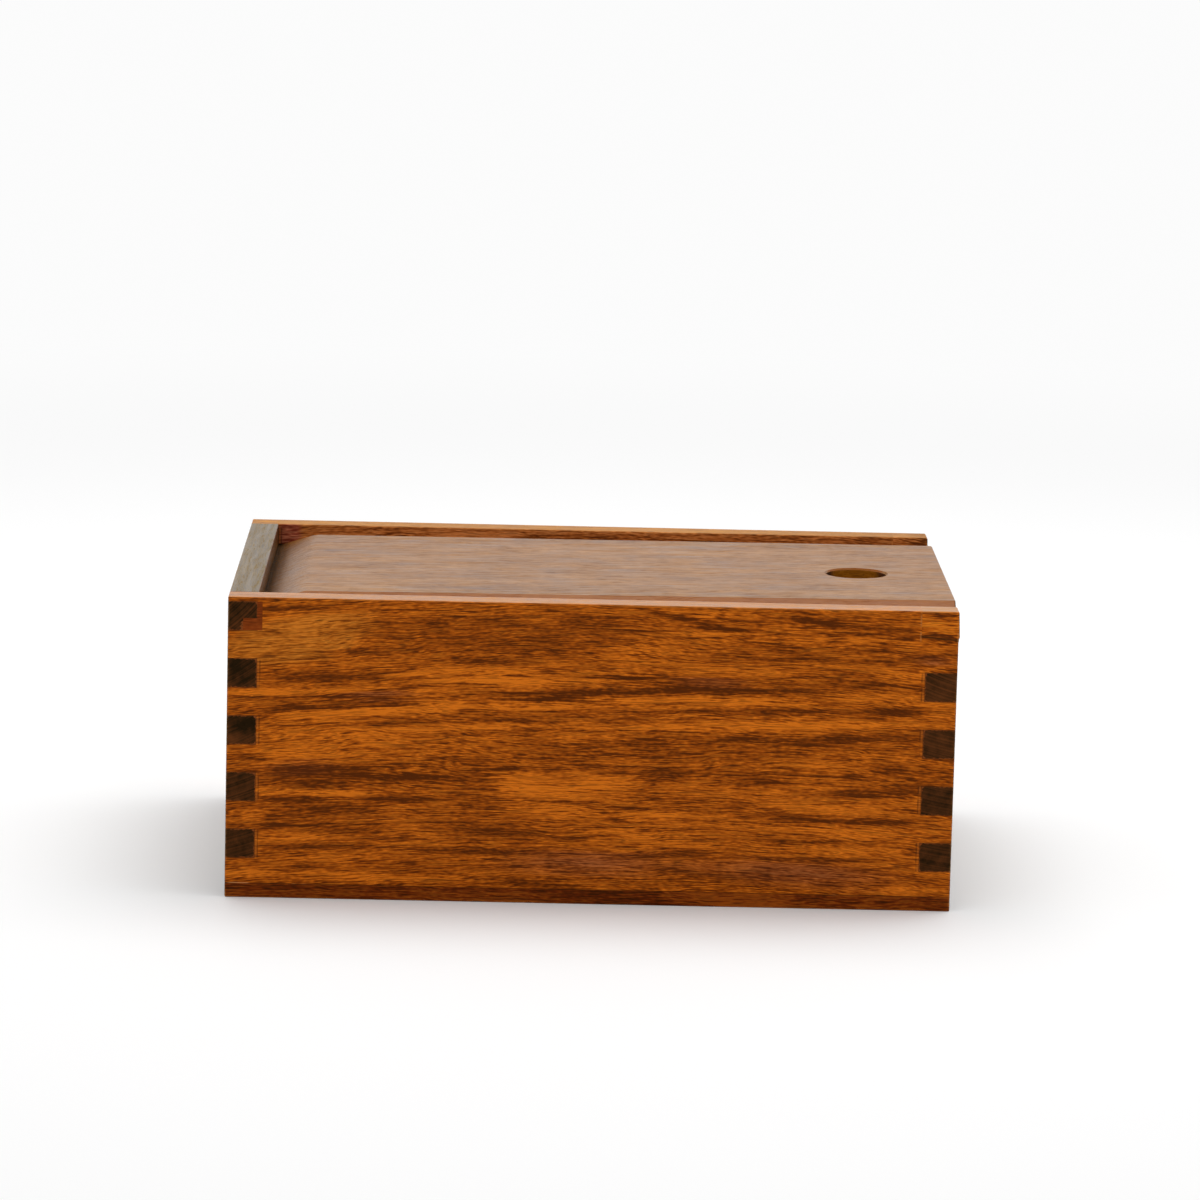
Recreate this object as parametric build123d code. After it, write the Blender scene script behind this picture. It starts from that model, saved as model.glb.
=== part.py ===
from build123d import *
import os
from math import radians, tan

# Wooden storage box with a sliding lid.
# Four finger-jointed boards stand on a glued-on bottom panel. The lid is a raised panel whose tongue runs in
# grooves in the two long boards and one end board, and it slides out over the lowered end board, towards +X.
# Millimetres. X runs along the box, Y from front to back, Z up. The origin is the middle of the underside.

# Case
case_length = 262.0
case_depth = 179.0
case_height = 110.0
long_board_thickness = 11.0
left_board_thickness = 10.5
right_board_thickness = 11.5
bottom_thickness = 5.2
arris = 0.5                   # sanded edges of the case

# Finger joints, counted down from the top of the case
top_land = 1.7                # wood of the long board above the top finger
finger_height = 10.4
least_tail = 3.0              # least wood of the long board below the lowest finger

# Groove for the lid's tongue
groove_drop = 7.7             # from the top of the case to the groove's roof
groove_height = 4.4
groove_depth = 5.0
end_board_relief = 0.2        # the lowered end board stays this far below the groove's floor

# Lid
tongue_slack = 0.4            # above the tongue, in the groove
side_slack = 0.5              # beside the tongue and the bevels, on each side
end_slack = 0.8               # at the closed end
field_drop_closed_end = 1.7   # the raised field slopes up a little towards the open end
field_drop_open_end = 0.5
side_bevel_angle = 25.5
end_bevel_angle = 24.5
end_crease_radius = 9.0
lid_overhang = 0.6            # the lid stands proud of the open end
lid_end_arris = 0.6
lid_corner_radius = 1.0

# Finger recess in the lid
recess_diameter = 22.4
recess_depth = 6.0
recess_inset = 33.0           # from the lid's open end to the recess's centre
recess_offset = -5.0          # from the middle of the lid, towards the front
recess_arris = 0.4

# Blocks let into the long boards at the open end
block_length = 13.3
block_height_inner = 8.9
block_height_outer = 10.0
block_proud_top = 0.05        # the block's end leans out a little towards its foot
block_proud_foot = 0.45
block_end_arris = 0.8

# Filler at the front left corner: the slot of the top finger is cut too wide
slot_overcut = 1.9

# Places that follow from the sizes above
end_x = case_length / 2
face_y = case_depth / 2
left_inner_x = -end_x + left_board_thickness
right_inner_x = end_x - right_board_thickness
long_inner_y = face_y - long_board_thickness
groove_roof_z = case_height - groove_drop
groove_floor_z = groove_roof_z - groove_height
lowered_top_z = groove_floor_z - end_board_relief
tongue_top_z = groove_roof_z - tongue_slack
lid_end_x = end_x + lid_overhang


def box_between(low, high):
    """Box from its lowest to its highest corner."""
    size = [b - a for a, b in zip(low, high)]
    middle = [(a + b) / 2 for a, b in zip(low, high)]
    return Pos(*middle) * Box(*size)


def prism(points, normal, start, end):
    """Straight-sided outline in the XZ plane (normal Y) or the YZ plane (normal X), from start to end."""
    plane = Plane.YZ if normal == "X" else Plane.XZ
    outline = plane * make_face(Polyline(*points, close=True))
    if normal == "X":
        return Pos(start, 0, 0) * extrude(outline, amount=end - start)
    return Pos(0, end, 0) * extrude(outline, amount=end - start)


def sanded_case():
    """The outside of the glued case: one block with all its edges eased."""
    block = box_between((-end_x, -face_y, 0), (end_x, face_y, case_height))
    return fillet(block.edges(), arris)


def finger_spans(highest):
    """Low and high of each finger of an end board whose top is at highest."""
    spans = []
    top = case_height - top_land
    while top - finger_height >= bottom_thickness + least_tail:
        if top <= highest:
            spans.append((top - finger_height, top))
        top -= 2 * finger_height
    return spans


def holds_groove(low, high):
    """True for the finger that the lid groove runs out through."""
    return low < (groove_floor_z + groove_roof_z) / 2 < high


def groove_in_long_board(side):
    """Groove in the inner face of a long board; side is -1 at the front and 1 at the back."""
    ys = sorted((side * long_inner_y, side * (long_inner_y + groove_depth)))
    return box_between((-end_x, ys[0], groove_floor_z), (lid_end_x, ys[1], groove_roof_z))


def groove_in_end_board():
    """Groove in the inner face of the left end board, run through from front to back."""
    low = (left_inner_x - groove_depth, -face_y, groove_floor_z)
    return box_between(low, (left_inner_x, face_y, groove_roof_z))


def block_outline(top_x, foot_x):
    """Outline in XZ of a corner block, up to top_x and foot_x at the open end."""
    inner_x = end_x - block_length
    fall = (block_height_outer - block_height_inner) / block_length
    foot_drop = block_height_inner + fall * (foot_x - inner_x)
    return [
        (inner_x, case_height),
        (top_x, case_height),
        (foot_x, case_height - foot_drop),
        (inner_x, case_height - block_height_inner),
    ]


def long_board(side, overcut):
    """Front or back board, with slots for both end boards, the lid groove and the block's notch."""
    ys = sorted((side * long_inner_y, side * face_y))
    board = box_between((-end_x, ys[0], bottom_thickness), (end_x, ys[1], case_height))
    top_edges = board.edges().filter_by(Axis.X).group_by(Axis.Z)[-1].sort_by(Axis.Y)
    board = fillet(top_edges[0 if side > 0 else -1], arris) & sanded_case()
    for low, high in finger_spans(case_height):
        wider = overcut if holds_groove(low, high) else 0
        board -= box_between((-end_x, ys[0], low), (left_inner_x + wider, ys[1], high))
    for low, high in finger_spans(lowered_top_z):
        board -= box_between((right_inner_x, ys[0], low), (end_x, ys[1], high))
    board -= groove_in_long_board(side)
    board -= prism(block_outline(end_x, end_x), "Y", ys[0], ys[1])
    return board


def end_board(side, top_z):
    """Left (side -1) or right (side 1) end board with its fingers, without the groove."""
    xs = (-end_x, left_inner_x) if side < 0 else (right_inner_x, end_x)
    board = box_between((xs[0], -long_inner_y, bottom_thickness), (xs[1], long_inner_y, top_z))
    board = fillet(board.edges().filter_by(Axis.Y).group_by(Axis.Z)[-1], arris)
    for low, high in finger_spans(top_z):
        board += box_between((xs[0], -face_y, low), (xs[1], face_y, high))
    return board & sanded_case()


def left_end_board():
    return end_board(-1, case_height) - groove_in_end_board()


def right_end_board():
    return end_board(1, lowered_top_z)


def bottom_panel():
    panel = box_between((-end_x, -face_y, 0), (end_x, face_y, bottom_thickness))
    return panel & sanded_case()


def corner_block(side):
    """Block in the notch at the open end of a long board, a little proud of the end at its foot."""
    ys = sorted((side * long_inner_y, side * face_y))
    outline = block_outline(end_x + block_proud_top, end_x + block_proud_foot)
    block = prism(outline, "Y", ys[0], ys[1])
    block = fillet(block.edges().filter_by(Axis.X), arris)
    block = fillet(block.faces().sort_by(Axis.X)[-1].edges(), block_end_arris)
    return block - groove_in_long_board(side)


def groove_plug(side, overcut, neighbours):
    """Filler where the groove runs out through the left end board's finger, and in the overcut beside it."""
    ys = sorted((side * (long_inner_y + groove_depth), side * face_y))
    low = (left_inner_x - groove_depth, ys[0], groove_floor_z)
    plug = box_between(low, (left_inner_x, ys[1], groove_roof_z))
    if overcut:
        ys = sorted((side * long_inner_y, side * face_y))
        for low, high in finger_spans(case_height):
            if holds_groove(low, high):
                plug += box_between((left_inner_x, ys[0], low), (left_inner_x + overcut, ys[1], high))
        plug -= groove_in_long_board(side)
    for neighbour in neighbours:
        plug -= neighbour
    return plug & sanded_case()


def side_bevel_cutter(side):
    """What is planed off above the tongue and the bevel along one long side of the lid."""
    shoulder = side * (long_inner_y - side_slack)
    above = case_height - tongue_top_z
    inner = shoulder - side * above / tan(radians(side_bevel_angle))
    outer = side * face_y
    outline = [
        (shoulder, tongue_top_z),
        (inner, tongue_top_z + above),
        (outer, tongue_top_z + above),
        (outer, tongue_top_z),
    ]
    return prism(outline, "X", -end_x, lid_end_x)


def above_field_cutter():
    """What is planed off above the field and the closed end's bevel, whose crease with the field is soft."""
    tip_x = left_inner_x - groove_depth + end_slack
    shoulder = left_inner_x + end_slack
    closed_z = case_height - field_drop_closed_end
    open_z = case_height - field_drop_open_end
    rise = (open_z - closed_z) / (lid_end_x - tip_x)
    slope = tan(radians(end_bevel_angle))
    crease_x = (closed_z - rise * tip_x - tongue_top_z + slope * shoulder) / (slope - rise)
    crease_z = tongue_top_z + slope * (crease_x - shoulder)
    points = [
        (tip_x, tongue_top_z),
        (shoulder, tongue_top_z),
        (crease_x, crease_z),
        (lid_end_x, open_z),
        (lid_end_x, case_height),
        (tip_x, case_height),
    ]
    outline = make_face(Polyline(*points, close=True))
    crease = outline.vertices().sort_by_distance((crease_x, crease_z, 0))[0]
    outline = Plane.XZ * fillet(crease, end_crease_radius)
    return Pos(0, face_y, 0) * extrude(outline, amount=case_depth)


def lid_panel():
    """Raised panel: tongue, three bevels, a gently sloping field and the finger recess."""
    tip_x = left_inner_x - groove_depth + end_slack
    tongue_y = long_inner_y + groove_depth - side_slack
    lid = box_between((tip_x, -tongue_y, groove_floor_z), (lid_end_x, tongue_y, case_height))
    lid -= side_bevel_cutter(-1)
    lid -= side_bevel_cutter(1)
    lid -= above_field_cutter()
    return finger_recess(eased_open_end(lid))


def eased_open_end(lid):
    """Rounds the corners and the top edge of the bevels and field at the lid's open end."""
    showing = lid.faces().sort_by(Axis.X)[-1].edges().filter_by(lambda e: e.center().Z > tongue_top_z)
    slanted = showing.filter_by(lambda e: e.center().Z < showing.sort_by(Axis.Z)[-1].center().Z)
    lid = fillet(slanted, lid_corner_radius)
    top = lid.faces().sort_by(Axis.X)[-1].edges().filter_by(Axis.Y).sort_by(Axis.Z)[-1]
    return fillet(top, lid_end_arris)


def finger_recess(lid):
    """Drilled recess with a flat floor and an eased rim."""
    centre_x = lid_end_x - recess_inset
    radius = recess_diameter / 2
    rim_z = case_height - field_drop_open_end
    base = (Align.CENTER, Align.CENTER, Align.MIN)
    well = Cylinder(radius, recess_depth + recess_arris, align=base)
    rim = Cone(radius, radius + 2 * recess_arris, 2 * recess_arris, align=base)
    lid -= Pos(centre_x, recess_offset, rim_z - recess_depth) * well
    return lid - Pos(centre_x, recess_offset, rim_z - 2 * recess_arris) * rim


def main():
    front = long_board(-1, slot_overcut)
    back = long_board(1, 0)
    left = left_end_board()
    parts = {
        "front_board": front,
        "back_board": back,
        "left_end_board": left,
        "right_end_board": right_end_board(),
        "bottom_panel": bottom_panel(),
        "front_corner_block": corner_block(-1),
        "back_corner_block": corner_block(1),
        "front_groove_plug": groove_plug(-1, slot_overcut, (front, left)),
        "back_groove_plug": groove_plug(1, 0, (back, left)),
        "lid_panel": lid_panel(),
    }
    os.makedirs("parts", exist_ok=True)
    for name, part in parts.items():
        export_step(part, "parts/" + name + ".step")


main()
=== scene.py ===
from collections import namedtuple
from math import radians

import bpy
from mathutils import Matrix, Vector

# Looks of a wooden storage box with a sliding lid. Places and sizes below are in millimetres, in the frame's
# axes: X along the box, Y from front to back, Z up, and the origin in the middle of the underside.
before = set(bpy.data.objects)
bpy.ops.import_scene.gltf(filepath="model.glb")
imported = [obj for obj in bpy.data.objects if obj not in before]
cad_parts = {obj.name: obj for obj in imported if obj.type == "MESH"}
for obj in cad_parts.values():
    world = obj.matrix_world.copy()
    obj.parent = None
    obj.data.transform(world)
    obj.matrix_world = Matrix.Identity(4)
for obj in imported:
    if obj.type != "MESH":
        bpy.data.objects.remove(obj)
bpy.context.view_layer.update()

MM = 0.001

# Case, as its wear and its joints need it
CASE_HALF_LENGTH = 131.0
CASE_HALF_DEPTH = 89.5
CASE_HEIGHT = 110.0
FINGER_TOP = 108.3            # of the highest finger of the left end board
FINGER_HEIGHT = 10.4
FINGER_PITCH = 20.8
LEFT_SLOT_END = -120.5        # where the fingers of the end boards end
RIGHT_SLOT_END = 119.5
RIGHT_FINGERS_TOP = 92.0      # the right end board has no finger above this
BOTTOM_SEAM = 5.2             # top of the bottom panel
BLOCK_INNER_END = 117.7
BLOCK_FOOT = (101.1, -0.083)  # height at the block's inner end, and its slope along X
LID_CLOSED_EDGE = -119.7      # where the bevel at the lid's closed end starts
FILLER_EDGE = (-127.0, 97.9, 0.45)  # X and Z of the filler's lower left corner, and how its edge leans
FILLER_TOP = 101.4

# Camera, at the photograph's place
CAMERA_PLACE = (-28.4, -2074.2, 451.6)
CAMERA_YAW = 0.878            # degrees to the right
CAMERA_PITCH = 9.72           # degrees down
CAMERA_ROLL = 1.376           # degrees, right side up
LENS = 168.79
SENSOR = 36.0

# Light
WORLD_LIGHT = 0.6             # what the world adds to each surface
BACKDROP = 0.97               # what the camera sees instead, and reflections from behind the box
FRONT_ROOM = 0.3              # what reflections see on the camera's side
FLOOR_HALF_WIDTH = 15000.0
FLOOR_COLOUR = 0.65           # as the object sees it
FLOOR_SEEN = 0.97             # as the camera sees it
FLOOR_FADE = (450.0, 1500.0)  # from the lit floor round the object to the backdrop's white
SOFTBOXES = {                 # place, aim, (width, height), watts
    "softbox_above": ((150, 350, 1500), (0, 0, 60), (1600, 1200), 15.0),
    "softbox_front": ((-700, -1500, 900), (0, 0, 60), (1200, 900), 2.0),
}

# Oil finish
SHEEN_TINT = (1.0, 0.55, 0.2, 1.0)
REFRACTION = 1.35
BUMP_STRENGTH = 0.4
BUMP_DEPTH = 0.06

# Colours of the joints, with painted glints on the bottom seam and a painted shadow under the corner block,
# and of the painted shade and dirt in the lid's slot
RIM = (164, 90, 34)
GLUE_LINE = (50, 20, 6)
SEAM = (44, 16, 3)
# painted glints of light along the bottom seam
SEAM_PAINTED_GLINT = (230, 160, 100)
BLOCK_END = (206, 128, 62)
# painted shadow line under the corner block
UNDER_BLOCK_SHADOW = (48, 18, 4)
FILLER = (132, 66, 28)
# painted shade of the lid's slot, with some dirt
SLOT_SHADE_AND_DIRT = (20, 9, 3)

# The usual oiled wood. A board's own look changes some of it.
WOOD = {
    "tone": 0.54,
    "bow": 0.00025,           # how fast the grain bows away on both sides of BOW_MIDDLE
    "wander": 6.0,            # how far it strays from that bow
    "grain": {                # length and height of the streaks, and how strongly they show
        "broad": (130, 12, 0.2),
        "bands": (110, 4.5, 0.22),
        "narrow": (50, 1.5, 0.3),
        "lines": (26, 0.5, 0.3),
        "fibres": (10, 0.34, 0.9),
        "specks": (2.2, 0.45, 0.45),
    },
    "mottle": 0.2,            # how strongly the soft mottling shows
    "veins": 0.6,             # and the dark veins
    "pores": 0.45,            # and the pores
    "roughness": 0.3,
    "colours": ((88, 32, 0), (166, 76, 6), (232, 122, 24)),
    "pore_colour": (60, 22, 0),
    "vein_colour": (66, 24, 4),
    "ends": ((14, 5, 1), (96, 50, 22)),  # dark and light colour of the sawn ends
    "end_tone": 0.4,          # how light the sawn ends are, from 0 to 1
    "worn": (214, 140, 70),   # colour of the sanded edges
    # top_light: painted light, a paler colour on the faces that look up, standing in for the stronger light
    # from above
    "top_light": ((146, 84, 28), (206, 138, 58), 0.85, 0.0),  # dark and light colour, share, more roughness
    # bevels: painted shade on the lid's bevels, browner on the sides and darker by the slot at the closed end
    "bevels": None,           # colour of the sides' bevels, and of the end's bevel by the slot
}
BOW_MIDDLE = 15.0
BACK_LOOK = {
    "colours": ((100, 52, 20), (178, 103, 45), (226, 146, 80)),
    "top_light": ((140, 90, 38), (206, 146, 78), 0.9, 0.3),
}
END_BOARD_LOOK = {
    "colours": ((54, 31, 11), (106, 68, 29), (148, 100, 50)),
    "bow": 0.0,
    "roughness": 0.34,
    "worn": (150, 110, 66),
    "top_light": ((62, 44, 16), (118, 94, 42), 1.0, 0.0),
}
LID_LOOK = {
    "grain": {
        "broad": (60, 14, 0.25),
        "bands": (40, 5, 0.15),
        "narrow": (20, 1.8, 0.25),
        "lines": (10, 0.8, 0.2),
        "fibres": (6, 0.4, 0.25),
        "specks": (2, 0.6, 0.2),
    },
    "mottle": 0.45,
    "veins": 0.25,
    "colours": ((94, 50, 8), (139, 86, 14), (168, 110, 30)),
    "bow": 0.0001,
    "roughness": 0.34,
    "worn": (142, 92, 38),
    "top_light": None,
    # painted shade: browner side bevels, and darker by the slot at the closed end
    "bevels": ((132, 60, 8), (80, 44, 14)),
}
PANEL_LOOK = {"colours": ((60, 16, 0), (108, 36, 2), (160, 76, 14)), "bow": 0.0}
BLOCK_LOOK = {
    "colours": ((90, 34, 4), (196, 94, 10), (234, 130, 30)),
    "bow": 0.0,
    "top_light": ((146, 98, 44), (190, 134, 70), 0.85, 0.0),
}
PLUG_LOOK = {"colours": ((90, 32, 4), (128, 50, 10), (152, 68, 20)), "bow": 0.0}

# Figure of the front board, drawn as soft streaks: x, z, half length, half height, slope in degrees,
# and how much lighter (above 0) or darker the wood is along the middle of the streak. The back board has it
# the other way round, as if both were cut from one plank. The last of the cracks is a small knot.
DARK_BANDS = [
    (-108, 106.3, 22, 1.4, 2, -0.30),
    (-60, 98, 32, 12, 0, -0.16),
    (-57, 102, 10, 3, 0, -0.20),
    (-92, 82.3, 30, 3.2, 2, -0.50),
    (-112, 80.5, 14, 2.5, 0, -0.25),
    (-80, 72.8, 26, 2.4, 2, -0.26),
    (-106, 69.6, 24, 1.3, 5, -0.40),
    (-70, 65.2, 22, 1.7, 3, -0.45),
    (-100, 63.8, 18, 1.5, 3, -0.30),
    (-58, 61, 16, 1.3, 3, -0.30),
    (-101, 46.5, 26, 4.5, 4, -0.38),
    (-98, 42, 18, 1.8, 2, -0.35),
    (-85, 45.5, 11, 1.8, 0, -0.35),
    (-64, 45.2, 22, 1.4, 0, -0.50),
    (-68, 37.8, 20, 1.8, 1, -0.50),
    (-104, 36.3, 20, 1.6, 2, -0.35),
    (-90, 33.5, 26, 3.0, 0, -0.22),
    (-56, 29, 17, 1.3, 0, -0.50),
    (-85, 25, 24, 2.4, 0, -0.22),
    (-98, 19.3, 30, 1.7, 0, -0.42),
    (-52, 19.5, 20, 2.0, 0, -0.32),
    (-32, 103.5, 18, 3.0, 0, -0.28),
    (-4, 104, 11, 4.5, 0, -0.28),
    (27, 106.3, 12, 1.6, -5, -0.45),
    (36, 104.2, 12, 1.4, -9, -0.40),
    (-38, 88.5, 22, 2.0, 1, -0.32),
    (-24, 77, 26, 2.2, 1, -0.45),
    (5, 78.2, 32, 2.2, 2, -0.50),
    (38, 80.3, 24, 2.6, 1, -0.42),
    (34, 71.8, 22, 1.5, 3, -0.42),
    (-30, 67.3, 26, 1.6, 0, -0.36),
    (28, 48.3, 14, 4.0, 4, -0.42),
    (20, 43, 8, 3.5, 0, -0.25),
    (-22, 97, 44, 14, 0, -0.18),
    (4, 102, 20, 9, 0, -0.08),
    (-100, 29, 34, 9, 0, -0.15),
    (-39, 45, 9, 5, 0, -0.25),
    (-39, 36.5, 9, 5, 0, -0.22),
    (-32, 26.5, 26, 3.5, 0, -0.36),
    (-5, 24.5, 13, 1.8, 0, -0.38),
    (-28, 18.8, 26, 1.6, 0, -0.36),
    (34, 19, 16, 2.2, 0, -0.38),
    (33, 13, 18, 1.6, -5, -0.38),
    (-18, 7.2, 20, 2.0, -4, -0.45),
    (83, 104.9, 20, 1.7, -5, -0.50),
    (106, 103.3, 18, 1.8, 0, -0.32),
    (102, 95, 22, 1.4, 0, -0.36),
    (68, 95.3, 16, 1.8, -12, -0.40),
    (58, 97, 9, 1.2, -8, -0.36),
    (121, 93.6, 14, 1.4, 4, -0.36),
    (70, 91.4, 34, 1.1, 0, -0.32),
    (106, 91.8, 16, 1.6, 0, -0.30),
    (102, 82.8, 18, 1.8, 2, -0.32),
    (62, 79.4, 30, 1.5, 1, -0.45),
    (72, 72.2, 34, 2.2, 1, -0.55),
    (108, 72.8, 18, 2.4, 0, -0.60),
    (55, 61.8, 20, 1.5, 0, -0.36),
    (86, 62.2, 22, 1.9, 2, -0.55),
    (110, 63, 16, 1.6, 0, -0.34),
    (60, 46.5, 18, 4.5, 0, -0.32),
    (96, 42, 24, 2.0, 0, -0.58),
    (114, 44.6, 13, 2.4, 6, -0.36),
    (77, 33.2, 22, 2.0, -3, -0.50),
    (106, 32.8, 20, 1.5, 0, -0.46),
    (80, 18.3, 44, 1.1, 0, -0.42),
    (62, 11.5, 24, 3.0, 0, -0.22),
]
LIGHT_BANDS = [
    (88, 102, 36, 8, 0, 0.14),
    (14, 90, 24, 8, 0, 0.14),
    (-40, 78, 50, 9, 0, 0.16),
    (60, 66, 55, 8, 0, 0.12),
    (-78, 60, 56, 15, 0, 0.16),
    (-5, 40, 44, 14, 0, 0.15),
    (0, 21, 34, 9, 0, 0.10),
    (-99, 101.8, 28, 4.5, 3, 0.30),
    (-106, 93.8, 32, 5.0, 4, 0.30),
    (-68, 82.9, 12, 0.8, 6, 0.50),
    (-50, 84.3, 18, 1.5, 5, 0.40),
    (-46, 81.2, 18, 1.1, 1, 0.50),
    (-60, 78, 14, 1.2, 2, 0.30),
    (-84, 76.9, 20, 1.4, 3, 0.55),
    (-118, 75.3, 22, 1.8, 1, 0.50),
    (-92, 68.2, 24, 2.8, 2, 0.60),
    (-60, 70.8, 34, 2.2, 4, 0.60),
    (-72, 62.5, 34, 1.6, 3, 0.25),
    (-105, 53.5, 24, 3.6, 2, 0.25),
    (-102, 39, 22, 1.8, 0, 0.38),
    (-86, 39, 12, 1.5, 0, 0.42),
    (-124, 30, 11, 3.5, 4, 0.25),
    (-100, 23, 22, 1.8, -2, 0.25),
    (-92, 15, 24, 1.8, 0, 0.28),
    (-88, 9, 20, 2.4, 0, 0.50),
    (-119, 8.5, 16, 3.2, 0, 0.34),
    (-60, 8.5, 16, 2.2, 0, 0.25),
    (38, 100, 17, 1.2, 0, 0.50),
    (38, 107.8, 18, 1.6, -2, 0.40),
    (24, 93.2, 20, 3.5, 0, 0.22),
    (-36, 84.8, 16, 1.8, 2, 0.40),
    (-14, 87.6, 11, 0.8, 3, 0.40),
    (-32, 81.3, 32, 2.2, 1, 0.55),
    (0, 82, 17, 1.9, 0, 0.42),
    (26, 75.9, 32, 1.4, 3, 0.60),
    (-14, 72.4, 28, 1.7, 1, 0.55),
    (-35, 64.8, 22, 1.6, 3, 0.38),
    (26, 65.6, 32, 1.6, 0, 0.42),
    (-3, 62, 26, 4.0, 0, 0.18),
    (-23, 44, 11, 6.5, 0, 0.50),
    (6, 45.8, 16, 4.0, 0, 0.42),
    (-8, 41.5, 24, 4.0, 0, 0.25),
    (26, 33, 20, 2.6, -2, 0.50),
    (-14, 34, 18, 3.5, 0, 0.32),
    (14, 26, 11, 2.4, -8, 0.38),
    (32, 22.8, 18, 2.4, -3, 0.25),
    (8, 13.5, 12, 1.8, -3, 0.25),
    (52, 107, 16, 1.8, 0, 0.25),
    (92, 99, 34, 1.3, 0, 0.32),
    (119, 97.5, 13, 2.2, 0, 0.30),
    (50, 87, 22, 3.0, 0, 0.32),
    (92, 88.4, 26, 1.4, 0, 0.28),
    (112, 86.5, 12, 3.6, 0, 0.36),
    (102, 78.4, 22, 1.7, 0, 0.42),
    (58, 75.7, 28, 1.9, 1, 0.60),
    (119, 75.8, 13, 1.7, 2, 0.35),
    (60, 66.9, 32, 1.9, 0, 0.55),
    (92, 67.8, 28, 1.8, 1, 0.50),
    (105, 57, 26, 2.5, 0, 0.25),
    (85, 53.5, 24, 3.0, 0, 0.22),
    (92, 37, 22, 2.6, 0, 0.42),
    (72, 38.5, 11, 2.2, 0, 0.30),
    (96, 28.8, 38, 2.2, 0, 0.34),
    (98, 22.3, 24, 2.0, 0, 0.20),
    (114, 7.6, 16, 1.8, 2, 0.30),
]
CRACKS = [
    (-72, 106.2, 12, 0.8, -1, -0.55),
    (-83, 91.2, 8, 1.1, 5, -0.45),
    (-106, 88.2, 12, 0.8, 4, -0.40),
    (-47, 79.8, 11, 0.6, 0, -0.80),
    (-118, 73.6, 10, 0.5, -2, -0.65),
    (-97, 74.3, 12, 0.5, 0, -0.55),
    (-78, 77.1, 9, 0.5, 3, -0.70),
    (-86, 70.6, 30, 0.7, 4, -0.85),
    (-108, 70.7, 12, 0.5, 2, -0.55),
    (-122, 50.9, 12, 0.7, 3, -0.40),
    (-104, 48.2, 12, 0.9, 6, -0.35),
    (-56, 52.3, 16, 0.7, 7, -0.45),
    (-108, 26.8, 18, 0.9, 0, -0.85),
    (-84, 27.9, 16, 0.7, 2, -0.60),
    (16, 101, 16, 0.8, -2, -0.60),
    (45, 102.2, 8, 1.2, -4, -0.55),
    (38, 98.4, 12, 0.5, 3, -0.65),
    (-28, 94.8, 7, 0.5, 0, -0.60),
    (13, 83.7, 22, 0.7, -1, -0.90),
    (-15, 75.3, 20, 0.7, 1, -0.75),
    (8, 50.7, 18, 0.9, 2, -0.45),
    (9, 48.7, 11, 1.1, 0, -0.50),
    (-30, 49.3, 18, 0.9, 0, -0.40),
    (-8, 37.3, 12, 0.7, 1, -0.45),
    (14, 36.1, 15, 1.0, -4, -0.60),
    (11, 31.4, 11, 0.8, -6, -0.45),
    (4, 28.2, 5, 0.7, 4, -0.60),
    (26, 25, 6, 0.7, -14, -0.60),
    (-25, 13.4, 6, 0.6, 4, -0.65),
    (18, 18.1, 10, 0.8, 3, -0.45),
    (96, 101.2, 14, 1.0, 0, -0.45),
    (67, 101.3, 12, 0.6, -3, -0.50),
    (86, 85, 9, 0.8, -10, -0.45),
    (78, 60.3, 10, 0.7, 0, -0.55),
    (89, 39, 10, 0.8, 3, -0.50),
    (66, 25.4, 14, 0.8, -2, -0.45),
    (83, 25.1, 11, 0.8, 2, -0.50),
    (103, 15.2, 8, 0.8, 3, -0.45),
    (-50.5, 104.7, 1.9, 1.1, 0, -2.20),
]

# Parts of the front board of another colour, the last number being how clearly it shows, and their colours
GOLDEN_PARTS = [
    (-99, 101, 30, 8, 3, 1.6),
    (-113, 94, 32, 9, 3, 1.5),
]
REDDISH_PARTS = [
    (42, 81.5, 22, 3.5, 0, 0.9),
    (-78, 73, 26, 3, 2, 0.8),
    (0, 14, 50, 10, 0, 0.9),
    (75, 12, 50, 9, 0, 1.0),
    (-104, 45, 24, 6, 0, 0.7),
    (122, 92, 12, 4, 0, 0.8),
]
GOLDEN = ((110, 50, 5), (180, 94, 18), (224, 130, 38))
REDDISH = ((84, 30, 8), (146, 70, 26), (200, 110, 56))

# Lighter and darker parts of the bottom panel's front edge, as (x, y) and so on
PANEL_PATCHES = [
    (52, -90, 34, 40, 0, 0.40),
    (4, -90, 30, 30, 0, -0.28),
    (102, -90, 22, 30, 0, 0.16),
    (-95, -90, 40, 30, 0, 0.06),
]

# Darker and lighter patches on the end grain of the end boards' fingers: x, z and so on as above
LEFT_END_PATCHES = [
    (-127, 84, 9, 6, 0, -0.55),
    (-124, 63.5, 9, 5.5, 0, -0.75),
    (-128, 58, 6, 2.5, 5, 0.35),
    (-128, 105, 12, 6, 0, -0.20),
]
RIGHT_END_PATCHES = [
    (126, 82, 12, 8, 0, 0.35),
    (126, 61.5, 12, 8, 0, 0.30),
]

# The corner blocks' figure
BLOCK_FIGURE = [
    (122, 108.4, 10, 1.1, -6, -0.80),
    (126, 101.3, 10, 0.9, -5, -0.90),
    (124, 105.2, 8, 2.6, 0, 0.45),
    (120, 106.8, 5, 0.6, 0, -0.30),
]
BACK_BLOCK_FIGURE = [(129.5, 106, 3.5, 9, 0, -0.9)]

# Stain on the back board, where filler was pressed in: minus x, z and so on, as the board is flipped
BACK_STAIN = [(116.3, 106.5, 6.5, 8, 0, 1.7)]
STAIN = ((96, 34, 22), (150, 66, 44), (214, 130, 96))


def linear(red, green, blue):
    """A colour written as sRGB numbers from 0 to 255, as the shader wants it."""
    def channel(value):
        value /= 255
        return value / 12.92 if value <= 0.04045 else ((value + 0.055) / 1.055) ** 2.4
    return (channel(red), channel(green), channel(blue), 1.0)


Spot = namedtuple("Spot", "along across through")  # along the grain, across the face, through the board


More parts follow.
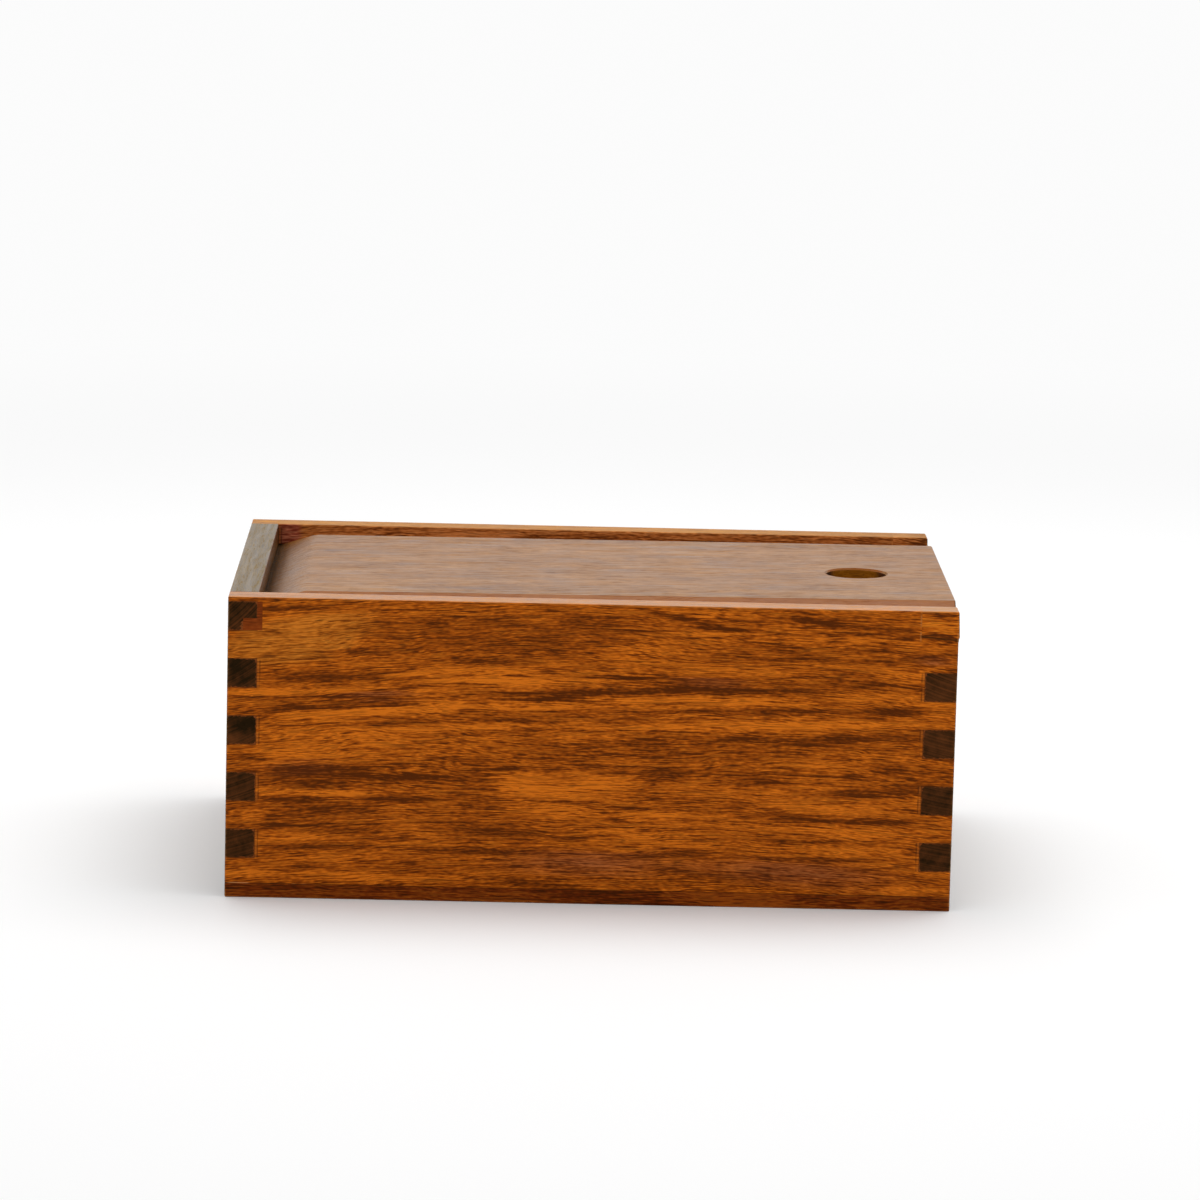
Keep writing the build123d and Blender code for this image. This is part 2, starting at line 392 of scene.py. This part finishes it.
class Value:
    """A number in a node tree. Python's arithmetic on it adds Math nodes."""

    def __init__(self, graph, socket):
        self.graph = graph
        self.socket = socket

    def __add__(self, other):
        return self.graph.math("ADD", self, other)

    def __radd__(self, other):
        return self.graph.math("ADD", other, self)

    def __sub__(self, other):
        return self.graph.math("SUBTRACT", self, other)

    def __rsub__(self, other):
        return self.graph.math("SUBTRACT", other, self)

    def __mul__(self, other):
        return self.graph.math("MULTIPLY", self, other)

    def __rmul__(self, other):
        return self.graph.math("MULTIPLY", other, self)

    def __truediv__(self, other):
        return self.graph.math("DIVIDE", self, other)

    def __pow__(self, other):
        return self.graph.math("POWER", self, other)

    def __abs__(self):
        return self.graph.math("ABSOLUTE", self)


class Graph:
    """A material's node tree, with short forms for the nodes that the finishes use."""

    def __init__(self, tree):
        self.tree = tree
        tree.nodes.clear()

    def add(self, kind, **settings):
        node = self.tree.nodes.new(kind)
        for name, value in settings.items():
            setattr(node, name, value)
        return node

    def feed(self, socket, value):
        """Links a Value or a socket, and sets anything else as the socket's own value."""
        if isinstance(value, Value):
            value = value.socket
        if isinstance(value, bpy.types.NodeSocket):
            self.tree.links.new(value, socket)
        else:
            socket.default_value = value

    def math(self, operation, *values):
        node = self.add("ShaderNodeMath", operation=operation)
        for socket, value in zip(node.inputs, values):
            self.feed(socket, value)
        return Value(self, node.outputs[0])

    def least(self, first, second):
        return self.math("MINIMUM", first, second)

    def most(self, first, second):
        return self.math("MAXIMUM", first, second)

    def vector(self, x, y, z):
        node = self.add("ShaderNodeCombineXYZ")
        for socket, value in zip(node.inputs, (x, y, z)):
            self.feed(socket, value)
        return node.outputs[0]

    def step(self, value, low, high):
        """Smooth step from 0, where value is low or less, to 1, where it is high or more."""
        node = self.add("ShaderNodeMapRange", interpolation_type="SMOOTHSTEP")
        for socket, given in zip(node.inputs, (value, low, high)):
            self.feed(socket, given)
        return Value(self, node.outputs[0])

    def ramp(self, value, low, high):
        """From 0, where value is low or less, straight to 1, where it is high or more."""
        node = self.add("ShaderNodeMapRange")
        for socket, given in zip(node.inputs, (value, low, high)):
            self.feed(socket, given)
        return Value(self, node.outputs[0])

    def noise(self, x, y, z, detail=0.0, roughness=0.5):
        """Soft noise about 0, mostly between -0.5 and 0.5."""
        node = self.add("ShaderNodeTexNoise")
        self.feed(node.inputs["Vector"], self.vector(x, y, z))
        self.feed(node.inputs["Scale"], 1.0)
        self.feed(node.inputs["Detail"], detail)
        self.feed(node.inputs["Roughness"], roughness)
        return Value(self, node.outputs["Fac"]) * 2 - 1

    def blend(self, factor, first, second):
        """Colour from first, at factor 0, to second, at factor 1."""
        node = self.add("ShaderNodeMix", data_type="RGBA")
        self.feed(node.inputs["Factor"], factor)
        self.feed(node.inputs["A"], first)
        self.feed(node.inputs["B"], second)
        return node.outputs["Result"]

    def shades(self, tone, colours):
        """Colour from the first of three, at tone 0, over the second, at 0.5, to the third, at 1."""
        dark, middle, light = (linear(*colour) for colour in colours)
        colour = self.blend(self.ramp(tone, 0.0, 0.5), dark, middle)
        return self.blend(self.ramp(tone, 0.5, 1.0), colour, light)

    def place(self):
        """X, Y and Z of the spot, in millimetres, as it lies at rest."""
        parts = self.add("ShaderNodeSeparateXYZ")
        self.feed(parts.inputs[0], self.add("ShaderNodeTexCoord").outputs["Object"])
        return [Value(self, parts.outputs[i]) * 1000 for i in range(3)]

    def facing(self):
        """How far the surface faces along X, Y and Z, each from -1 to 1."""
        parts = self.add("ShaderNodeSeparateXYZ")
        self.feed(parts.inputs[0], self.add("ShaderNodeTexCoord").outputs["Normal"])
        return [Value(self, parts.outputs[i]) for i in range(3)]

    def streaks(self, x, z, given):
        """Sum of soft streaks, each (x, z, half length, half height, slope in degrees, strength)."""
        spot = self.vector(x, z, 0.0)
        total = 0.0
        for middle_x, middle_z, length, height, slope, strength in given:
            local = self.add("ShaderNodeMapping", vector_type="TEXTURE")
            self.feed(local.inputs["Vector"], spot)
            self.feed(local.inputs["Location"], (middle_x, middle_z, 0))
            self.feed(local.inputs["Rotation"], (0, 0, radians(slope)))
            self.feed(local.inputs["Scale"], (length, height, 1))
            ball = self.add("ShaderNodeTexGradient", gradient_type="SPHERICAL")
            self.feed(ball.inputs["Vector"], local.outputs[0])
            total = self.math("MULTIPLY_ADD", ball.outputs["Fac"], strength, total)
        return total


def edge_wear(g, x, y, z):
    """1 on the case's sanded edges, 0 away from them."""
    from_end = CASE_HALF_LENGTH - abs(x)
    from_face = CASE_HALF_DEPTH - abs(y)
    from_top = g.least(z, CASE_HEIGHT - z)
    middle = g.most(g.least(from_end, from_face), g.least(g.most(from_end, from_face), from_top))
    return 1 - g.step(middle, 0.15, 0.8)


def from_fingers(g, x, z):
    """Distance from the end boards' fingers along X and along Z, less than 0 within them."""
    beside = 0 - g.most(LEFT_SLOT_END - x, x - RIGHT_SLOT_END)
    turn = g.math("FRACT", (FINGER_TOP - z) / FINGER_PITCH + 0.25)
    above = abs(turn * FINGER_PITCH - FINGER_PITCH / 2) - FINGER_HEIGHT / 2
    no_finger = g.least(x, z - RIGHT_FINGERS_TOP)
    return beside, g.most(above, no_finger)


def board_joints(g, colour, x, z, facing_y):
    """Adds the fine glue lines round the fingers, the bottom panel and the corner block, with painted glints
    on the bottom seam and a painted shadow under the block.
    """
    beside, above = from_fingers(g, x, z)
    patchy = g.step(g.noise(x / 3, z / 3, 0.0, 2), -0.35, 0.1)
    within = 1 - g.step(above, -0.3, 0.3)
    rim = (1 - g.step(beside, 0.8, 1.2)) * within
    colour = g.blend(rim * patchy * 0.45, colour, linear(*RIM))
    edge = (1 - g.step(abs(beside - 1.2), 0.1, 0.35)) * within
    gap = g.most(1 - g.step(g.most(beside, above), 0.05, 0.35), edge * patchy * 0.7)
    colour = g.blend(gap * 0.8, colour, linear(*GLUE_LINE))
    colour = bottom_seam(g, colour, x, z)
    return block_joint(g, colour, x, z, g.step(0 - facing_y, 0.5, 0.9) * patchy)


def bottom_seam(g, colour, x, z):
    """Adds the glue line over the bottom panel, with a few painted glints of light towards the ends."""
    seam = 1 - g.step(z - BOTTOM_SEAM, 0.1, 0.45)
    painted_glint = g.step(g.noise(x / 12, 0.0, 7.0, 2), 0.08, 0.3) * g.step(abs(x), 84, 98)
    return g.blend(seam * 0.7, colour, g.blend(painted_glint, linear(*SEAM), linear(*SEAM_PAINTED_GLINT)))


def block_joint(g, colour, x, z, front):
    """Adds the pale line at the corner block's inner end, on the front only, and a dark painted shadow line
    under the block.
    """
    end = 1 - g.step(abs(x - BLOCK_INNER_END + 0.3), 0.1, 0.5)
    end = end * g.step(z, 98.0, 100.0) * front
    colour = g.blend(end * 0.55, colour, linear(*BLOCK_END))
    # painted shadow line under the block
    foot = z - BLOCK_FOOT[0] - BLOCK_FOOT[1] * (x - BLOCK_INNER_END)
    shadow_below = g.step(x, BLOCK_INNER_END - 1, BLOCK_INNER_END + 0.5)
    shadow_below = (1 - g.step(abs(foot + 0.3), 0.2, 0.8)) * shadow_below
    return g.blend(shadow_below * 0.9, colour, linear(*UNDER_BLOCK_SHADOW))


def finger_ends(g, colour, x, z):
    """Adds filler in the corners of the fingers' end grain, and ragged filler beside the front plug."""
    beside, above = from_fingers(g, x, z)
    radius = 1.2 + 1.6 * g.noise(0.0, z / 14, 3.0)
    corner = (g.most(radius + beside, 0.0) ** 2 + g.most(radius + above, 0.0) ** 2) ** 0.5 - radius
    rough = 1.6 * g.noise(x / 1.1, z / 1.1, 2.0, 2)
    smear = g.step(corner + 0.4 * rough, -0.25, 0.05)
    edge_x, foot_z, lean = FILLER_EDGE
    ragged = g.step(x - edge_x - lean * (z - foot_z) + rough, -0.1, 0.2)
    ragged = ragged * g.step(z, foot_z - 1, foot_z) * (1 - g.step(z, FILLER_TOP, FILLER_TOP + 0.4))
    return g.blend(g.most(smear, ragged), colour, linear(*FILLER))


def bevels(g, colour, x, facing, fibres, shades):
    """Painted shade on the bevels: browner where they slope to the front and back, and darkest by the slot at
    the lid's closed end, as the slot's shadow and some dirt; and how much rougher it is by the slot.
    """
    side, end = (linear(*shade) for shade in shades)
    sloping = g.step(facing["Z"], 0.5, 0.7)
    colour = g.blend(sloping * g.step(abs(facing["Y"]), 0.25, 0.4) * 0.6, colour, side)
    reach = x - LID_CLOSED_EDGE + 7 * fibres
    colour = g.blend((1 - g.step(reach, -1.0, 15.0)) * 0.75, colour, end)
    colour = g.blend(1 - g.step(reach, -1.0, 4.5), colour, linear(*SLOT_SHADE_AND_DIRT))
    return colour, 0.55 * (1 - g.step(x - LID_CLOSED_EDGE, 0.5, 3.0))


def paint_top_light(g, colour, tone, up, given):
    """Painted light: the faces where the board looks up get their own, mostly paler colour, standing in for
    the stronger light from above; and how much rougher they are.
    """
    dark, light, share, roughness = given
    upper = g.step(up, 0.75, 0.95)
    paler = g.blend(g.ramp(tone, -0.2, 1.2), linear(*dark), linear(*light))
    return g.blend(upper * share, colour, paler), upper * roughness


def grain_layers(g, look, cut):
    """Noise of each kind of streak, drawn out along the grain, and how far the grain strays from its bow."""
    wander = look["wander"] * g.noise(cut.along / 120, cut.across / 34, cut.through / 34, 1)
    ripple = 0.8 * g.noise(cut.along / 18, cut.across / 5, cut.through / 5)
    bow = look["bow"] * (cut.along - BOW_MIDDLE) * (cut.along - BOW_MIDDLE)
    level = cut.across + bow + wander + ripple
    depth = cut.through + 0.7 * wander + ripple
    layers = {"mottle": g.noise(cut.along / 12, cut.across / 7, cut.through / 7, 2, 0.6)}
    for part, (length, height, _) in look["grain"].items():
        layers[part] = g.noise(cut.along / length, level / height, depth / height)
    layers["veins"] = g.noise(cut.along / 45, level / 2.4, depth / 2.4)
    return layers, wander


def plain_tone(look, layers):
    """How light the wood is, mostly from 0 to 1, without the drawn figure."""
    tone = look["tone"] + look["mottle"] * layers["mottle"]
    for part, (_, _, strength) in look["grain"].items():
        tone = tone + strength * layers[part]
    return tone


def drawn_figure(g, layers, spot, cut, marks):
    """What the drawn streaks add to the tone, roughened by the finer grain."""
    wobble = 1.2 * g.noise(cut.along / 34, cut.across / 5, cut.through / 5, 1)
    wobble = wobble + 0.7 * layers["narrow"] + 0.35 * layers["lines"]
    figure = g.streaks(spot.along + 10 * layers["lines"], spot.across + wobble, marks)
    return figure * (1.4 + 0.6 * layers["narrow"] + 0.9 * layers["fibres"])


def long_grain(g, look, layers, tone, tint_spot, tints):
    """Colour of the wood on the faces that the grain runs along, before its pores."""
    colour = g.shades(tone, look["colours"])
    for given, colours in tints:
        part = g.streaks(*tint_spot, given)
        colour = g.blend(g.step(part, 0.1, 0.9), colour, g.shades(tone, colours))
    veined = g.step(layers["bands"] + layers["lines"] + 0.6 * layers["narrow"], 0.05, 0.45)
    vein = (1 - g.step(abs(layers["veins"] + 0.1 * layers["lines"]), 0.015, 0.07)) * veined
    return g.blend(vein * look["veins"], colour, linear(*look["vein_colour"]))


def end_grain(g, look, spot, cut, pith, patches):
    """Colour of the sawn ends, with the growth rings about the pith."""
    rings = g.math("SQRT", (cut.across - pith[0]) ** 2 + (cut.through - pith[1]) ** 2)
    tone = look["end_tone"] + 0.8 * g.noise(rings / 0.7, cut.along / 40, 0.0, 2, 0.6)
    tone = tone + 0.5 * g.noise(cut.across / 3, cut.through / 3, cut.along / 20, 2)
    if patches:
        tone = tone + g.streaks(spot.through, spot.across, patches)
    dark, light = (linear(*shade) for shade in look["ends"])
    return g.blend(g.ramp(tone, 0.0, 1.0), dark, light)


def oil_finish(g, colour, roughness, height):
    """Shader of oiled wood, with the relief of its fibres and pores."""
    shader = g.add("ShaderNodeBsdfPrincipled")
    g.feed(shader.inputs["Base Color"], colour)
    g.feed(shader.inputs["Roughness"], roughness)
    g.feed(shader.inputs["IOR"], REFRACTION)
    g.feed(shader.inputs["Specular Tint"], SHEEN_TINT)
    bump = g.add("ShaderNodeBump")
    g.feed(bump.inputs["Strength"], BUMP_STRENGTH)
    g.feed(bump.inputs["Distance"], BUMP_DEPTH * MM)
    g.feed(bump.inputs["Height"], height)
    g.feed(shader.inputs["Normal"], bump.outputs[0])
    g.feed(g.add("ShaderNodeOutputMaterial").inputs["Surface"], shader.outputs[0])


def wood(name, axes, start, look=None, marks=(), tints=(), end_marks=(), pith=(60, 0), flip=1, joints=False):
    """Oiled wood.

    axes says which of XYZ run along the grain, across the face and through the board, and start where in the
    plank the board was cut. The drawn streaks lie on the board itself.
    """
    look = dict(WOOD, **(look or {}))
    material = bpy.data.materials.new(name)
    material.use_nodes = True
    g = Graph(material.node_tree)
    place = dict(zip("XYZ", g.place()))
    facing = dict(zip("XYZ", g.facing()))
    spot = Spot(place[axes[0]] * flip, place[axes[1]], place[axes[2]])
    cut = Spot(*(on_board + offset for on_board, offset in zip(spot, start)))

    layers, wander = grain_layers(g, look, cut)
    narrow, fibres = layers["narrow"], layers["fibres"]
    tone = plain_tone(look, layers)
    if marks:
        tone = tone + drawn_figure(g, layers, spot, cut, marks)
    pores = g.step(fibres + 0.3 * narrow, 0.2, 0.4)
    roughness = look["roughness"] + 0.1 * narrow + 0.15 * pores
    tint_spot = (spot.along, spot.across + 2.5 * narrow + 1.5 * wander)
    colour = long_grain(g, look, layers, tone, tint_spot, tints)
    colour = g.blend(pores * look["pores"], colour, linear(*look["pore_colour"]))
    # painted light: the faces that look up get a paler colour, standing in for the light from above
    if look["top_light"]:
        colour, rougher = paint_top_light(g, colour, tone, facing["Z"], look["top_light"])
        roughness = roughness + rougher
    # painted shade on the lid's bevels and in its slot
    if look["bevels"]:
        colour, rougher = bevels(g, colour, place["X"], facing, fibres, look["bevels"])
        roughness = roughness + rougher
    if joints:
        colour = board_joints(g, colour, place["X"], place["Z"], facing["Y"])

    end = g.step(abs(facing[axes[0]]), 0.6, 0.9)
    end_colour = end_grain(g, look, spot, cut, pith, end_marks)
    if end_marks:
        end_colour = finger_ends(g, end_colour, place["X"], place["Z"])
    colour = g.blend(end, colour, end_colour)
    worn = edge_wear(g, place["X"], place["Y"], place["Z"]) * g.ramp(narrow + 0.5 * fibres, -0.5, 0.6)
    colour = g.blend(worn * 0.5, colour, linear(*look["worn"]))
    oil_finish(g, colour, roughness + 0.2 * end, 0.6 * fibres - pores)
    return material


def finish_node(node, material):
    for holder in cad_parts[node].material_slots:
        holder.material = material


def finish_all():
    figure = DARK_BANDS + LIGHT_BANDS + CRACKS
    front_tints = [(GOLDEN_PARTS, GOLDEN), (REDDISH_PARTS, REDDISH)]
    back_tints = [(BACK_STAIN, STAIN)]
    looks = {
        "front_board": wood("front_wood", "XZY", (0, 0, 0), None, figure, front_tints, joints=True),
        "back_board": wood("back_wood", "XZY", (0, 0, 30), BACK_LOOK, figure, back_tints, flip=-1,
                           joints=True),
        "left_end_board": wood("left_end_wood", "YZX", (0, 300, 20), END_BOARD_LOOK, pith=(444, -145),
                               end_marks=LEFT_END_PATCHES),
        "right_end_board": wood("right_end_wood", "YZX", (0, 500, 60), END_BOARD_LOOK, pith=(640, 205),
                                end_marks=RIGHT_END_PATCHES),
        "bottom_panel": wood("panel_wood", "XYZ", (200, 500, 7), PANEL_LOOK, PANEL_PATCHES),
        "lid_panel": wood("lid_wood", "XYZ", (-300, 900, 0), LID_LOOK),
        "front_corner_block": wood("block_wood", "XZY", (90, 40, 0), BLOCK_LOOK, BLOCK_FIGURE),
        "back_corner_block": wood("back_block_wood", "XZY", (90, 40, 0), BACK_LOOK, BACK_BLOCK_FIGURE),
        "front_groove_plug": wood("filler", "XZY", (60, 10, 0), PLUG_LOOK),
    }
    looks["back_groove_plug"] = looks["front_groove_plug"]
    for node, material in looks.items():
        finish_node(node, material)


def seen_directly(g):
    """1 for what the camera sees straight, mirrored or through glass, and 0 for light on the object."""
    path = g.add("ShaderNodeLightPath")
    seen = g.most(path.outputs["Is Camera Ray"], path.outputs["Is Glossy Ray"])
    return g.most(seen, path.outputs["Is Transmission Ray"])


def add_world():
    world = bpy.data.worlds.new("studio")
    bpy.context.scene.world = world
    world.use_nodes = True
    g = Graph(world.node_tree)
    background = g.add("ShaderNodeBackground")
    direction = g.add("ShaderNodeSeparateXYZ")
    g.feed(direction.inputs[0], g.add("ShaderNodeTexCoord").outputs["Generated"])
    path = g.add("ShaderNodeLightPath")
    behind = g.step(Value(g, direction.outputs["Y"]), -0.3, 0.5)
    mirrored = behind * (BACKDROP - FRONT_ROOM) + FRONT_ROOM
    seen = Value(g, path.outputs["Is Camera Ray"])
    glossy = Value(g, path.outputs["Is Glossy Ray"])
    strength = seen * BACKDROP + (1 - seen) * (glossy * mirrored + (1 - glossy) * WORLD_LIGHT)
    g.feed(background.inputs["Strength"], strength)
    g.feed(background.inputs["Color"], (1, 1, 1, 1))
    g.feed(g.add("ShaderNodeOutputWorld").inputs["Surface"], background.outputs[0])


def add_floor():
    mesh = bpy.data.meshes.new("floor")
    half = FLOOR_HALF_WIDTH * MM
    corners = [(-half, -half, 0), (half, -half, 0), (half, half, 0), (-half, half, 0)]
    mesh.from_pydata(corners, [], [(0, 1, 2, 3)])
    floor = bpy.data.objects.new("floor", mesh)
    bpy.context.scene.collection.objects.link(floor)
    material = bpy.data.materials.new("floor")
    material.use_nodes = True
    g = Graph(material.node_tree)
    x, y, _ = g.place()
    far = g.step((x * x + y * y) ** 0.5, *FLOOR_FADE)
    seen = g.add("ShaderNodeLightPath").outputs["Is Camera Ray"]
    diffuse = g.add("ShaderNodeBsdfDiffuse")
    g.feed(diffuse.inputs["Color"], g.blend(seen, (FLOOR_COLOUR,) * 3 + (1,), (FLOOR_SEEN,) * 3 + (1,)))
    glow = g.add("ShaderNodeEmission")
    g.feed(glow.inputs["Strength"], BACKDROP)
    mixed = g.add("ShaderNodeMixShader")
    g.feed(mixed.inputs[0], far * seen_directly(g))
    g.feed(mixed.inputs[1], diffuse.outputs[0])
    g.feed(mixed.inputs[2], glow.outputs[0])
    g.feed(g.add("ShaderNodeOutputMaterial").inputs["Surface"], mixed.outputs[0])
    mesh.materials.append(material)


def add_softboxes():
    for name, (place, aim, (width, height), watts) in SOFTBOXES.items():
        data = bpy.data.lights.new(name, "AREA")
        data.shape = "RECTANGLE"
        data.size = width * MM
        data.size_y = height * MM
        data.energy = watts
        lamp = bpy.data.objects.new(name, data)
        bpy.context.scene.collection.objects.link(lamp)
        lamp.location = Vector(place) * MM
        lamp.rotation_euler = (Vector(place) - Vector(aim)).to_track_quat("Z", "Y").to_euler()


def add_camera():
    data = bpy.data.cameras.new("camera")
    data.lens = LENS
    data.sensor_width = SENSOR
    data.clip_end = 100
    camera = bpy.data.objects.new("camera", data)
    bpy.context.scene.collection.objects.link(camera)
    turn = Matrix.Rotation(radians(-CAMERA_YAW), 4, "Z")
    turn = turn @ Matrix.Rotation(radians(90 - CAMERA_PITCH), 4, "X")
    turn = turn @ Matrix.Rotation(radians(CAMERA_ROLL), 4, "Z")
    camera.matrix_world = Matrix.Translation(Vector(CAMERA_PLACE) * MM) @ turn
    bpy.context.scene.camera = camera


finish_all()
add_world()
add_floor()
add_softboxes()
add_camera()
bpy.context.scene.view_settings.view_transform = "Standard"
